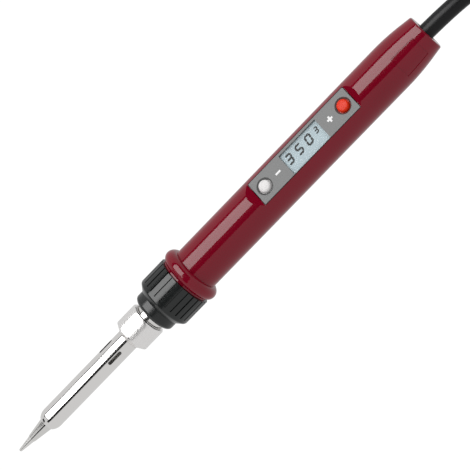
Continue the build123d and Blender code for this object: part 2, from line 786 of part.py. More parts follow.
# Mains lead: straight out of the handle, and down onto the bench.
lead_route = [
    (rear_x - CORD_START, 0, axis_z),
    (rear_x + 13, 0, axis_z),
    (rear_x + 34, 0, cord_r),
    (hank_front, 0, cord_r),
]
cord_tube(lead_route, "power_cord")

# The rest of the lead, folded into a hank with a narrow waist.
with BuildPart() as cord_hank:
    hank_w = 2 * HANK_FOLD_R + CORD_D
    hank_h = HANK_LAYERS * CORD_D
    waist_lift = TIE_T + SEAT_FIT  # the strap runs under the cord
    lobe_l = (HANK_L - HANK_WAIST_L) / 2
    with BuildSketch(Plane.XY):
        with Locations((hank_front + lobe_l / 2, 0), (hank_rear - lobe_l / 2, 0)):
            RectangleRounded(lobe_l, hank_w, HANK_FOLD_R)
    extrude(amount=hank_h)
    with BuildSketch(Plane.XY.offset(waist_lift)):
        with Locations(((hank_front + hank_rear) / 2, 0)):
            Rectangle(HANK_WAIST_L + HANK_FOLD_R, 2 * CORD_D)
    extrude(amount=hank_h)
keep(cord_hank, "cord_hank")

# Strap round the waist of the hank.
with BuildPart() as cord_tie:
    strap_w = 2 * (CORD_D + SEAT_FIT)
    strap_h = hank_h + 2 * SEAT_FIT
    with BuildSketch(Plane.YZ.offset((hank_front + hank_rear - TIE_L) / 2)):
        with Locations((0, TIE_T + strap_h / 2)):
            Rectangle(strap_w + 2 * TIE_T, strap_h + 2 * TIE_T)
            Rectangle(strap_w, strap_h, mode=Mode.SUBTRACT)
    extrude(amount=TIE_L)
keep(cord_tie, "cord_tie")

# End of the lead, from the top of the hank down to the plug.
tail_route = [
    (hank_rear, 0, layer_z[-1]),
    (hank_rear + 13, 0, layer_z[-1]),
    (relief_front - 13, 0, plug_z),
    (relief_front, 0, plug_z),
]
cord_tube(tail_route, "cord_tail")

# Moulded plug body with its strain relief.
plug_axis = Axis((relief_front, 0, plug_z), (1, 0, 0))
plug_side = Plane(origin=(relief_front, 0, plug_z), x_dir=(1, 0, 0), z_dir=(0, -1, 0))
plug_face = PLUG_RELIEF_L + PLUG_L
with BuildPart() as plug_body:
    with BuildSketch(plug_side):
        with BuildLine():
            Polyline(
                (0, 0),
                (0, cord_r + 0.9),
                (PLUG_RELIEF_L, cord_r + 3.0),
                (PLUG_RELIEF_L + 1.5, cord_r + 7.5),
                (PLUG_RELIEF_L + 4, PLUG_D / 2 - 5.0),
                (PLUG_RELIEF_L + 13, PLUG_D / 2 - 3.2),
                (PLUG_RELIEF_L + 17, PLUG_D / 2),
                (plug_face, PLUG_D / 2),
                (plug_face, 0),
                close=True,
            )
        make_face()
    revolve(axis=plug_axis)
    # grooves at each side that the socket's ribs run in
    with BuildSketch(Plane(origin=(relief_front + plug_face, 0, plug_z), x_dir=(0, 1, 0), z_dir=(-1, 0, 0))):
        with Locations((PLUG_D / 2, 0), (-PLUG_D / 2, 0)):
            Rectangle(4.0, 5.0)
    extrude(amount=PLUG_L - 17, mode=Mode.SUBTRACT)
    # recesses for the earth contacts at the top and the bottom
    with BuildSketch(Plane(origin=(relief_front + plug_face, 0, plug_z), x_dir=(0, 1, 0), z_dir=(-1, 0, 0))):
        with Locations((0, PLUG_D / 2), (0, -PLUG_D / 2)):
            Rectangle(5.4, 4.4)
    extrude(amount=PLUG_L - 17, mode=Mode.SUBTRACT)
    with BuildSketch(Plane(origin=(relief_front + plug_face, 0, plug_z), x_dir=(0, 1, 0), z_dir=(-1, 0, 0))):
        with Locations((PIN_PITCH / 2, 0), (-PIN_PITCH / 2, 0)):
            Circle(PIN_ROOT_D / 2 + SEAT_FIT)
    extrude(amount=PLUG_L / 2, mode=Mode.SUBTRACT)
keep(plug_body, "plug_body")

# Two round pins with rounded ends, on thinner roots inside the plug.
with BuildPart() as plug_pins:
    pin_x = relief_front + plug_face
    with BuildSketch(Plane(origin=(pin_x, 0, plug_z), x_dir=(0, 1, 0), z_dir=(1, 0, 0))):
        with Locations((PIN_PITCH / 2, 0), (-PIN_PITCH / 2, 0)):
            Circle(PIN_D / 2)
    extrude(amount=PIN_L)
    pin_ends = plug_pins.edges().filter_by(GeomType.CIRCLE).group_by(Axis.X)[-1]
    fillet(pin_ends, PIN_D * 0.3)
    with BuildSketch(Plane(origin=(pin_x, 0, plug_z), x_dir=(0, -1, 0), z_dir=(-1, 0, 0))):
        with Locations((PIN_PITCH / 2, 0), (-PIN_PITCH / 2, 0)):
            Circle(PIN_ROOT_D / 2)
    extrude(amount=PLUG_L / 2 - SEAT_FIT)
keep(plug_pins, "plug_pins")

# Sprung earth contacts in their recesses.
with BuildPart() as plug_earth_contacts:
    contact_len = PLUG_L - 17 - 1.0
    for flip in (-1, 1):
        with BuildSketch(plug_side):
            with Locations((plug_face - contact_len / 2 - 0.5, flip * (PLUG_D / 2 - 1.3))):
                Rectangle(contact_len, 0.9)
        extrude(amount=2.2, both=True)
keep(plug_earth_contacts, "plug_earth_contacts")

print("iron", round(rear, 2), "long, axis at", round(axis_z, 2), "panel from", round(panel_front, 2))
print("hank from", round(hank_front, 2), "to", round(hank_rear, 2), "plug at", round(relief_front, 2))
print("pins end at", round(relief_front + plug_face + PIN_L, 2))
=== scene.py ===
import math

import bmesh
import bpy
from mathutils import Matrix, Vector


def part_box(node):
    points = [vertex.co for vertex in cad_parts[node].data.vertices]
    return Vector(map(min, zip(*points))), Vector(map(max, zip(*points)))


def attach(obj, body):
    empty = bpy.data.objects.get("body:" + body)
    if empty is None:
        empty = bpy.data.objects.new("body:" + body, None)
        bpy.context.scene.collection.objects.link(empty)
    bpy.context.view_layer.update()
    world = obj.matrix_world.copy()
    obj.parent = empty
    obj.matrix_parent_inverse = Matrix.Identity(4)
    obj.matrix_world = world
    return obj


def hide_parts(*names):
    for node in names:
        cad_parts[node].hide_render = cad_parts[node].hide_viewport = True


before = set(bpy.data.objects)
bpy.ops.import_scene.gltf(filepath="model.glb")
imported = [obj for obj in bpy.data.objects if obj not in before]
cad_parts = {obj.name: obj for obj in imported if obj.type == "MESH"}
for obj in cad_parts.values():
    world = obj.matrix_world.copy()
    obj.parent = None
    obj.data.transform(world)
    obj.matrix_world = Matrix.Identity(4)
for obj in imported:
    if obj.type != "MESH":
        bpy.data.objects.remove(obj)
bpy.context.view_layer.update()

# ---------------------------------------------------------------- bench, lamps and camera
# The iron lies in a white tent. One long lamp in a dark frame shows only in reflections, and a soft
# fill lamp lights only matt colour. The bench only glows, so no shadow shows on it, and it is seen
# only by the camera.

mm = 0.001
tip_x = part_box("soldering_tip")[0].x
axis_z = (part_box("ribbed_nut")[0].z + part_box("ribbed_nut")[1].z) / 2
scene = bpy.context.scene
scene.view_settings.view_transform = "Standard"

scene.world = bpy.data.worlds.new("white tent")
scene.world.use_nodes = True
scene.world.node_tree.nodes["Background"].inputs["Color"].default_value = (1, 1, 1, 1)
scene.world.node_tree.nodes["Background"].inputs["Strength"].default_value = 0.65


def staged_sheet(name, length, width, colour, glow, lean=0.0, x=0.0, distance=1.0):
    """A flat sheet of the stage that faces the iron from above, leaning from straight up towards +Y."""
    bpy.ops.mesh.primitive_plane_add(size=1.0)
    sheet = bpy.context.object
    sheet.name = name
    sheet.data.transform(Matrix.Diagonal((length, width, 1, 1)))
    sheet.location = (x, distance * math.sin(lean), distance * math.cos(lean))
    sheet.rotation_euler = (-lean, 0, 0)
    paint = bpy.data.materials.new(name)
    paint.use_nodes = True
    shader = paint.node_tree.nodes["Principled BSDF"]
    shader.inputs["Base Color"].default_value = (colour, colour, colour, 1)
    shader.inputs["Specular IOR Level"].default_value = 0.0
    shader.inputs["Emission Color"].default_value = (1, 1, 1, 1)
    shader.inputs["Emission Strength"].default_value = glow
    sheet.data.materials.append(paint)
    sheet.visible_diffuse = False
    sheet.visible_shadow = False
    return sheet


bench = staged_sheet("bench", 8.0, 8.0, 0.0, 1.05, distance=0.0)
bench.visible_glossy = False

lamp_front, lamp_back = -0.6, 0.62
for name, radiance, lean, seen_in_gloss in (
    ("long_lamp", 4.2, math.radians(15.8), True),
    ("soft_fill", 1.15, math.radians(45), False),
):
    lamp = bpy.data.objects.new(name, bpy.data.lights.new(name, "AREA"))
    lamp.data.shape = "RECTANGLE"
    lamp.data.size = lamp_back - lamp_front
    lamp.data.size_y = 1.06
    lamp.data.energy = radiance * math.pi * lamp.data.size * lamp.data.size_y
    lamp.location = ((lamp_front + lamp_back) / 2, math.sin(lean), math.cos(lean))
    lamp.rotation_euler = (-lean, 0, 0)
    lamp.visible_camera = False
    lamp.visible_glossy = seen_in_gloss
    lamp.visible_diffuse = not seen_in_gloss
    scene.collection.objects.link(lamp)

for name, lean, width, length, x, distance in (
    ("frame_near_tip", -24.0, 0.4, 0.94, -0.83, 1.0),
    ("frame_near_grip", -18.0, 0.5, 1.8, 0.54, 0.97),
    ("frame_far", 49.0, 0.18, 2.4, 0.3, 1.0),
    ("frame_front", 15.8, 1.3, 0.12, lamp_front - 0.06, 1.0),
    ("frame_back", 15.8, 1.3, 1.0, lamp_back + 0.5, 1.0),
):
    flag = staged_sheet(name, length, width, 0.01, 0.0, math.radians(lean), x, distance)
    flag.visible_camera = False
tent_opening = staged_sheet("tent_opening", 0.8, 1.0, 0.01, 0.0)
tent_opening.location = (-2.0, 0.85, 0.7)
tent_opening.rotation_euler = (0, math.radians(90), 0)
tent_opening.visible_camera = False

camera = bpy.data.objects.new("camera", bpy.data.cameras.new("camera"))
camera.data.sensor_width = 36.0
camera.data.lens = 153.19
camera.data.shift_x = 0.0009
camera.data.shift_y = -0.0009
camera.location = (0.15442, -0.30757, 0.70559)
back = (camera.location - Vector((0.0084, -0.0015, 0.0126))).normalized()
right = Vector((0.704874, 0.691750, 0.156955)).cross(back).normalized()
up = back.cross(right)
camera.rotation_euler = Matrix((right, up, back)).transposed().to_euler()
scene.collection.objects.link(camera)
scene.camera = camera

# ---------------------------------------------------------------- mains lead
# Three-core lead with a smooth black jacket, extruded in one run. It leaves the handle straight,
# drops to the bench and is folded into a hank with a narrow waist, whose last pass runs to the plug.


class Paint:
    """A socket among a material's nodes. Arithmetic on it adds Math nodes, node() adds any other."""

    def __init__(self, tree, socket=None):
        self.tree = tree
        self.socket = socket

    def node(self, kind, settings=None, inputs=None, output=0):
        made = self.tree.nodes.new(kind)
        for name, value in (settings or {}).items():
            if name == "stops":
                for stop, (place, colour) in zip(made.color_ramp.elements, value):
                    stop.position = place
                    stop.color = colour
            else:
                setattr(made, name, value)
        for name, value in (inputs or {}).items():
            if isinstance(value, Paint):
                self.tree.links.new(value.socket, made.inputs[name])
            else:
                made.inputs[name].default_value = value
        return Paint(self.tree, made.outputs[output])

    def maths(self, operation, first, second=0.0):
        return self.node("ShaderNodeMath", {"operation": operation}, {0: first, 1: second})

    def __add__(self, other):
        return self.maths("ADD", self, other)

    def __sub__(self, other):
        return self.maths("SUBTRACT", self, other)

    def __rsub__(self, other):
        return self.maths("SUBTRACT", other, self)

    def __mul__(self, other):
        return self.maths("MULTIPLY", self, other)

    def __gt__(self, other):
        return self.maths("GREATER_THAN", self, other)

    def __lt__(self, other):
        return self.maths("LESS_THAN", self, other)

    __radd__ = __add__
    __rmul__ = __mul__


def finish(name, colour, roughness, metallic=0.0, **fixed):
    """A new material, with a Paint on its nodes and its shader. What never varies is set here."""
    material = bpy.data.materials.new(name)
    material.use_nodes = True
    shader = material.node_tree.nodes["Principled BSDF"]
    shader.inputs["Base Color"].default_value = (*colour, 1)
    shader.inputs["Roughness"].default_value = roughness
    shader.inputs["Metallic"].default_value = metallic
    for key, value in fixed.items():
        shader.inputs[key.replace("_", " ")].default_value = value
    return material, Paint(material.node_tree), shader


def feed(shader, name, paint):
    """Lets a pattern drive one of the shader's inputs."""
    paint.tree.links.new(paint.socket, shader.inputs[name])


def emboss(shader, height, strength, depth):
    """Lets a height pattern drive the shader's normal, with its depth in millimetres."""
    inputs = {"Strength": strength, "Distance": depth * mm, "Height": height}
    feed(shader, "Normal", height.node("ShaderNodeBump", inputs=inputs))


def speckle(paint, scale, detail=2.0, stretch=(1, 1, 1)):
    """Noise in the part's own space, from 0 to 1, scaled in grains a metre."""
    where = paint.node("ShaderNodeTexCoord", output="Object")
    placed = paint.node("ShaderNodeMapping", inputs={"Vector": where, "Scale": stretch})
    return paint.node("ShaderNodeTexNoise", inputs={"Vector": placed, "Scale": scale, "Detail": detail})


def blend(paint, mask, low, high):
    """A colour between two, by a mask. Either may itself be painted."""
    ends = {6 + i: end if isinstance(end, Paint) else (*end, 1) for i, end in enumerate((low, high))}
    return paint.node("ShaderNodeMix", {"data_type": "RGBA"}, {0: mask, **ends}, output=2)


def grained(
    name, colour, roughness, spread, scale, depth, metallic=0.0, shade=0.12, stretch=(1, 1, 1), **fixed
):
    """A material whose colour, gloss and surface vary with one fine grain."""
    material, paint, shader = finish(name, colour, roughness, metallic, **fixed)
    grain = speckle(paint, scale, 3.0, stretch)
    dark = [c * (1 - shade) for c in colour]
    light = [min(1.0, c * (1 + shade)) for c in colour]
    feed(shader, "Base Color", blend(paint, grain, dark, light))
    feed(shader, "Roughness", grain * (2 * spread) + (roughness - spread))
    emboss(shader, grain, 0.5, depth)
    return material


cord_d = 6.8 * mm
cord_r = cord_d / 2
lead_route = [
    (0.107035, 0, 0.01262),
    (0.128035, 0, 0.01262),
    (0.149035, 0, 0.0034),
    (0.165035, 0, 0.0034),
]
tail_route = [
    (0.315035, 0, 0.0238),
    (0.328035, 0, 0.0238),
    (0.344035, 0, 0.01875),
    (0.357035, 0, 0.01875),
]
hank_front, hank_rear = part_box("cord_hank")[0].x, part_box("cord_hank")[1].x
hank_middle = (hank_front + hank_rear) / 2
fold_r = 20.4 * mm
fold_reach = fold_r / 0.966  # of the control points round a fold, which the line cuts inside
fold_inset = fold_r + cord_r
waist_y = cord_r + 0.05 * mm
waist_lift = 1.25 * mm  # the strap runs under the waist
layers = 4
# half a pass, from the waist to the fold: along it, aside from its middle, and how much of the lift it has
half_pass = ((6, 3.45, 1.0), (16, 5.0, 0.6), (25.7, 10.6, 0.2), (35.2, 17.3, 0.0), (45.7, 20.4, 0.0))


def straight_in(along):
    """How far aside a pass lies where it comes straight from the handle or goes straight to the plug."""
    return waist_y * max(0.0, 1 - (along - 6) / 50)


cord_points = list(lead_route)
for layer in range(layers):
    z = cord_r + layer * cord_d
    # out, on the -Y side
    for side in (-1, 1):
        for along, aside, lifted in half_pass[::side]:
            single = (layer == 0 and side < 0) or (layer == layers - 1 and side > 0)
            y = straight_in(along) if single else aside * mm
            cord_points.append((hank_middle + side * along * mm, -y, z + lifted * waist_lift))
    if layer == layers - 1:
        break
    # round the far fold
    for step in range(6):
        turn = math.radians(-75 + 30 * step)
        x = hank_rear - fold_inset + fold_reach * math.cos(turn)
        cord_points.append((x, fold_reach * math.sin(turn), z))
    # back, on the +Y side, rising to the next layer in its second half
    for side in (1, -1):
        for along, aside, lifted in half_pass[::-side]:
            climb = min(1.0, max(0.0, (along - 8) / 40)) if side < 0 else 0.0
            risen = cord_d * climb * climb * (3 - 2 * climb)
            cord_points.append((hank_middle + side * along * mm, aside * mm, z + risen + lifted * waist_lift))
    # round the near fold
    for step in range(6):
        turn = math.radians(105 + 30 * step)
        x = hank_front + fold_inset + fold_reach * math.cos(turn)
        cord_points.append((x, fold_reach * math.sin(turn), z + cord_d))
cord_points += tail_route

cord_line = bpy.data.curves.new("mains_lead", "CURVE")
cord_line.dimensions = "3D"
cord_line.bevel_depth = cord_r
cord_line.bevel_resolution = 6
cord_line.resolution_u = 8
cord_line.use_fill_caps = True
cord_run = cord_line.splines.new("NURBS")
cord_run.points.add(len(cord_points) - 1)
for point, place in zip(cord_run.points, cord_points):
    point.co = (*place, 1)
cord_run.order_u = 3
cord_run.use_endpoint_u = True
cord_run.use_smooth = True
mains_lead = bpy.data.objects.new("mains_lead", cord_line)
scene.collection.objects.link(mains_lead)
jacket = grained("black cord jacket", (0.006, 0.006, 0.007), 0.36, 0.05, 700.0, 0.03, Specular_IOR_Level=0.25)
cord_line.materials.append(jacket)
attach(mains_lead, "handle")
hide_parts("power_cord", "cord_hank", "cord_tail")

# ---------------------------------------------------------------- strap on the hank
# Woven hook-and-loop strap wrapped once round the waist of the hank, with a short lap on its top.


def build(form, name, material, body, slot, *nodes, sharp=30.0):
    """Turns a finished form into a piece: smooth but for sharp edges, on its body, with its nodes."""
    mesh = bpy.data.meshes.new(name)
    form.to_mesh(mesh)
    form.free()
    mesh.shade_smooth()
    mesh.set_sharp_from_angle(angle=math.radians(sharp))
    mesh.materials.append(material)
    piece = bpy.data.objects.new(name, mesh)
    scene.collection.objects.link(piece)
    even = piece.modifiers.new("even shading", "WEIGHTED_NORMAL")
    even.keep_sharp = True
    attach(piece, body)
    if nodes:
        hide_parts(*nodes)
    return piece


def round_edges(form, edges, offset, segments):
    bmesh.ops.bevel(
        form, geom=edges, offset=offset, affect="EDGES", segments=segments, profile=0.5, material=-1
    )


def block(low, high, rounding=0.0, segments=3):
    """A box between two corners, with its edges rounded."""
    form = bmesh.new()
    bmesh.ops.create_cube(form, size=1.0)
    size = [b - a for a, b in zip(low, high)]
    middle = [(a + b) / 2 for a, b in zip(low, high)]
    bmesh.ops.scale(form, vec=size, verts=form.verts)
    bmesh.ops.translate(form, vec=middle, verts=form.verts)
    if rounding:
        round_edges(form, form.edges[:], rounding, segments)
    return form


tie_low, tie_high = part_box("cord_tie")
strap_t = 1.2 * mm
strap = block(tie_low, tie_high)
bmesh.ops.delete(strap, geom=[f for f in strap.faces if abs(f.normal.x) > 0.9], context="FACES")
long_edges = [e for e in strap.edges if abs(e.verts[0].co.x - e.verts[1].co.x) > strap_t]
round_edges(strap, long_edges, 2.6 * mm, 6)
bmesh.ops.recalc_face_normals(strap, faces=strap.faces)
bmesh.ops.solidify(strap, geom=strap.faces[:], thickness=strap_t)
bmesh.ops.recalc_face_normals(strap, faces=strap.faces)
webbing, paint, shader = finish("black webbing", (0.02, 0.02, 0.02), 0.85)
where = paint.node("ShaderNodeTexCoord", output="Object")
weave = paint.node(
    "ShaderNodeTexWave",
    {"bands_direction": "X"},
    {"Vector": where, "Scale": 300.0, "Distortion": 2.0, "Detail": 2.0, "Detail Scale": 4.0},
)
feed(shader, "Base Color", blend(paint, weave, (0.012, 0.012, 0.012), (0.035, 0.035, 0.036)))
emboss(shader, weave, 0.6, 0.2)
hank_strap = build(strap, "hank_strap", webbing, "handle", "tie_plastic", "cord_tie")

# ---------------------------------------------------------------- mains plug
# Round earthed plug, moulded in black rubber over the lead with a tapered strain relief that is
# ringed so that it bends. Two nickel-plated pins, and sprung brass earth contacts at top and bottom.


def spin_round(form, axis, steps):
    """Spins a drawn half outline once round an axis through the origin."""
    bmesh.ops.spin(
        form,
        geom=form.verts[:] + form.edges[:],
        cent=(0, 0, 0),
        axis=axis,
        angle=math.tau,
        steps=steps,
        use_merge=True,
        use_duplicate=False,
    )
    bmesh.ops.remove_doubles(form, verts=form.verts, dist=1e-6)
    bmesh.ops.recalc_face_normals(form, faces=form.faces)


def turned(outline, steps=96, centre=(0.0, axis_z), closed=True):
    """A turned form about a line along X, from its half outline as (along, radius, rounding)."""
    form = bmesh.new()
    corners = [form.verts.new((along, radius, 0)) for along, radius, *_ in outline]
    for near, far in zip(corners, corners[1:]):
        form.edges.new((near, far))
    if closed:
        form.edges.new((corners[-1], corners[0]))
    for rounding in sorted({entry[2] for entry in outline if len(entry) > 2}):
        round_here = [c for c, entry in zip(corners, outline) if len(entry) > 2 and entry[2] == rounding]
        bmesh.ops.bevel(
            form, geom=round_here, offset=rounding, affect="VERTICES", segments=4, profile=0.5, material=-1
        )
    spin_round(form, (1, 0, 0), steps)
    bmesh.ops.translate(form, vec=(0, *centre), verts=form.verts)
    return form


def cut(form, *tools):
    """The form with the tools' shapes cut out of it."""
    made = []
    for shape in (form, *tools):
        mesh = bpy.data.meshes.new("cutting")
        shape.to_mesh(mesh)
        shape.free()
        made.append(bpy.data.objects.new("cutting", mesh))
        scene.collection.objects.link(made[-1])
    for tool in made[1:]:
        step = made[0].modifiers.new("cut", "BOOLEAN")
        step.operation = "DIFFERENCE"
        step.solver = "EXACT"
        step.object = tool
    left = bmesh.new()
    left.from_object(made[0], bpy.context.evaluated_depsgraph_get())
    for thing in made:
        bpy.data.meshes.remove(thing.data)
    return left


def gather(whole, form):
    """Adds a finished form to a larger one."""
    mesh = bpy.data.meshes.new("gathered")
    form.to_mesh(mesh)
    form.free()
    whole.from_mesh(mesh)


plug_low, plug_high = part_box("plug_body")
plug_r = (plug_high.y - plug_low.y) / 2
plug_z = (plug_low.z + plug_high.z) / 2
relief_l = 22 * mm
relief = [(0, 2.9 * mm), (0, 4.3 * mm, 0.6 * mm)]
rings = 6
for ring in range(rings):
    ring_x = (3.0 + 2.9 * ring) * mm
    ring_r = 4.3 * mm + 2.1 * mm * ring_x / relief_l
    relief += [
        (ring_x, ring_r),
        (ring_x, ring_r - 0.9 * mm),
        (ring_x + 1.1 * mm, ring_r - 0.8 * mm),
        (ring_x + 1.1 * mm, ring_r + 0.1 * mm),
    ]
shell = [
    (22.0, 6.4, 0.5),
    (23.5, 10.9, 1.2),
    (26.0, 13.75, 2.0),
    (35.0, 15.55, 2.0),
    (39.0, 18.75, 1.5),
    (54.0, 18.75, 0.8),
    (54.0, 2.9),
]
outline = [(plug_low.x + a, r, *more) for a, r, *more in relief]
outline += [(plug_low.x + a * mm, r * mm, *[m * mm for m in more]) for a, r, *more in shell]
plug_form = turned(outline, steps=72, centre=(0.0, plug_z))
groove_x = plug_high.x - 15 * mm
groove_tools = []
for side in (-1, 1):
    y = sorted((side * (plug_r - 2 * mm), side * (plug_r + 2 * mm)))
    side_low = (groove_x, y[0], plug_z - 2.5 * mm)
    groove_tools.append(block(side_low, (plug_high.x + 1 * mm, y[1], plug_z + 2.5 * mm)))
    z = sorted((plug_z + side * (plug_r - 2.2 * mm), plug_z + side * (plug_r + 2 * mm)))
    groove_tools.append(block((groove_x, -2.7 * mm, z[0]), (plug_high.x + 1 * mm, 2.7 * mm, z[1])))
plug_form = cut(plug_form, *groove_tools)
rubber = grained("black moulded rubber", (0.014, 0.014, 0.015), 0.5, 0.08, 900.0, 0.05)
mains_plug = build(plug_form, "mains_plug", rubber, "handle", "plug_rubber", "plug_body")

pin_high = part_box("plug_pins")[1]
pin_r = 2.4 * mm
pin_pitch = 19 * mm
pins = bmesh.new()
nickel = grained("nickel plate", (0.74, 0.72, 0.69), 0.2, 0.05, 1500.0, 0.01, metallic=1.0, shade=0.05)
for side in (-1, 1):
    pin = turned(
        [
            (plug_high.x - 2 * mm, 0),
            (plug_high.x - 2 * mm, 2.0 * mm),
            (plug_high.x - 0.02 * mm, 2.0 * mm),
            (plug_high.x - 0.02 * mm, pin_r),
            (pin_high.x, pin_r, 1.4 * mm),
            (pin_high.x, 0),
        ],
        steps=40,
        centre=(side * pin_pitch / 2, plug_z),
        closed=False,
    )
    gather(pins, pin)
plug_pins = build(pins, "plug_pin_pair", nickel, "handle", "nickel", "plug_pins")

brass = grained("bare brass", (0.72, 0.5, 0.2), 0.28, 0.08, 900.0, 0.02, metallic=1.0, shade=0.1)
contact_low, contact_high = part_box("plug_earth_contacts")
contacts = bmesh.new()
for side in (-1, 1):
    outer = plug_z + side * (contact_high.z - plug_z)
    z = sorted((outer, outer - side * 0.9 * mm))
    contact = block((contact_low.x, contact_low.y, z[0]), (contact_high.x, contact_high.y, z[1]), 0.25 * mm)
    gather(contacts, contact)
earth_springs = build(contacts, "earth_springs", brass, "handle", "brass", "plug_earth_contacts")

# ---------------------------------------------------------------- heater and its leads
# Fired ceramic rod with its printed element near the front, and a collar that sits in the bush.
# Two heater leads and two sensor leads in glass-fibre sleeving go back to the circuit board.

ceramic, paint, shader = finish("fired ceramic", (0.62, 0.6, 0.56), 0.55)
where = paint.node("ShaderNodeTexCoord", output="Object")
along = paint.node("ShaderNodeSeparateXYZ", inputs={"Vector": where})
hot_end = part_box("ceramic_heater")[0].x + 16 * mm
grain = speckle(paint, 900.0, 3.0)
scorched = (hot_end - along) * 180.0 + grain * 0.3
scorched = paint.node("ShaderNodeClamp", inputs={"Value": scorched})
feed(shader, "Base Color", blend(paint, scorched, (0.6, 0.58, 0.54), (0.2, 0.17, 0.15)))
feed(shader, "Roughness", grain * 0.2 + 0.45)


def stations(node):
    """Where a CAD node starts and ends along the tool, in millimetres from the point of the tip."""
    low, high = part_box(node)
    return (low.x - tip_x) / mm, (high.x - tip_x) / mm


def tool_outline(*corners):
    """An outline in metres, from stations, radii and roundings in millimetres."""
    return [(tip_x + station * mm, *(size * mm for size in sizes)) for station, *sizes in corners]


heater_front, heater_rear = stations("ceramic_heater")
bush_front, bush_rear = stations("threaded_bush")
collar = bush_front + 3.0
heater_form = turned(
    tool_outline(
        (heater_front, 0),
        (heater_front, 1.95, 0.45),
        (collar, 1.95),
        (collar, 3.9, 0.3),
        (collar + 4.0, 3.9, 0.3),
        (collar + 4.0, 1.95),
        (heater_rear, 1.95, 0.2),
        (heater_rear, 0),
    ),
    steps=48,
    closed=False,
)
build(heater_form, "heater_rod", ceramic, "front_end", "ceramic", "ceramic_heater")



def coat(node, material):
    """Gives a CAD node its material."""
    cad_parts[node].data.materials.clear()
    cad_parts[node].data.materials.append(material)


sleeving = grained("glass-fibre sleeving", (0.62, 0.6, 0.55), 0.8, 0.1, 2500.0, 0.08, stretch=(0.3, 1, 1))
coat("heater_leads", sleeving)
coat("earth_ring", brass)

# ---------------------------------------------------------------- threaded bush
# Turned steel bush, moulded into the black front ring. Its polished neck shows between the ring
# and the knurled nut, and its cut thread carries the nut.

steel = grained(
    "polished steel", (0.88, 0.87, 0.85), 0.12, 0.03, 1800.0, 0.004,
    metallic=1.0, shade=0.04, stretch=(0.05, 1, 1),
)
thread_end = bush_front + 7.4
thread_pitch = 0.75
thread = []
for turn in range(9):
    groove = bush_front + 0.55 + turn * thread_pitch
    thread += [(groove, 6.25), (groove + 0.26, 5.8), (groove + 0.42, 5.8), (groove + 0.68, 6.25)]
bush_form = turned(
    tool_outline(
        (bush_front, 4.0),
        (bush_front, 6.25, 0.3),
        *thread,
        (thread_end, 6.25),
        (thread_end, 5.7, 0.2),
        (bush_rear - 2.0, 5.7),
        (bush_rear - 2.0, 6.7),
        (bush_rear, 6.7),
        (bush_rear, 2.6),
        (bush_front + 7.1, 2.6),
        (bush_front + 7.1, 4.0),
    )
)
build(bush_form, "steel_bush", steel, "front_end", "steel", "threaded_bush")

# ---------------------------------------------------------------- front ring
# Black heat-resistant plastic, moulded round the bush, with a drawn-in nose and a flange behind.

black_plastic = grained("black satin plastic", (0.012, 0.014, 0.014), 0.24, 0.05, 1100.0, 0.03, shade=0.2)
ring_face, ring_rear = stations("nipple")
nose_points = [(ring_face, 5.76), (ring_face, 6.3)]
nose_steps = 7
for step in range(1, nose_steps + 1):
    turn = math.pi / 2 * step / nose_steps
    nose_points.append((ring_face + 1.9 * (1 - math.cos(turn)), 6.3 + 2.8 * math.sin(turn)))
ring_form = turned(
    tool_outline(
        *nose_points,
        (ring_face + 7.2, 9.1),
        (ring_face + 7.2, 9.95),
        (ring_face + 9.2, 9.95),
        (ring_face + 9.2, 7.2),
        (ring_rear, 7.2),
        (ring_rear, 5.2),
        (ring_face + 6.85, 5.2),
        (ring_face + 6.85, 6.75),
        (ring_face + 4.75, 6.75),
        (ring_face + 4.75, 5.76),
    )
)
build(ring_form, "front_ring", black_plastic, "front_end", "black_plastic", "nipple")

# ---------------------------------------------------------------- tip
# Copper tip under iron and chrome plate. Only its fine working cone is tinned, up to a small
# ridge where the plating ends. The hollow barrel fits over the heater.

plate, paint, shader = finish("plated tip", (0.66, 0.65, 0.63), 0.16, 1.0)
where = paint.node("ShaderNodeTexCoord", output="Object")
along = paint.node("ShaderNodeSeparateXYZ", inputs={"Vector": where})
tinned_l = 7.1
grain = speckle(paint, 2200.0, 4.0, (0.25, 1, 1))
blotch = speckle(paint, 500.0, 2.0)
tinned = along < tip_x + tinned_l * mm
# Behind the flange the barrel is painted near-black and dull: painted shade within the sleeve.
barrel_painted_shade = along > tip_x + 19.5 * mm
bare = blend(paint, tinned, (0.84, 0.83, 0.81), (0.9, 0.89, 0.87))
feed(shader, "Base Color", blend(paint, barrel_painted_shade, bare, (0.045, 0.035, 0.03)))
feed(shader, "Roughness", grain * 0.08 + blotch * tinned * 0.16 + barrel_painted_shade * 0.4 + 0.08)
emboss(shader, grain, 0.4, 0.01)
tip_rear = stations("soldering_tip")[1]
tip_form = turned(
    tool_outline(
        (0, 0),
        (0, 0.6, 0.45),
        (tinned_l, 1.5),
        (tinned_l, 1.65, 0.06),
        (16.1, 2.975),
        (18.2, 2.975),
        (18.2, 3.9, 0.1),
        (19.4, 3.9, 0.1),
        (19.4, 3.25),
        (tip_rear, 3.25, 0.2),
        (tip_rear, 2.03),
        (22.2, 2.03),
        (22.2, 0),
    ),
    closed=False,
)
build(tip_form, "plated_tip", plate, "tip", "tip_plating", "soldering_tip")
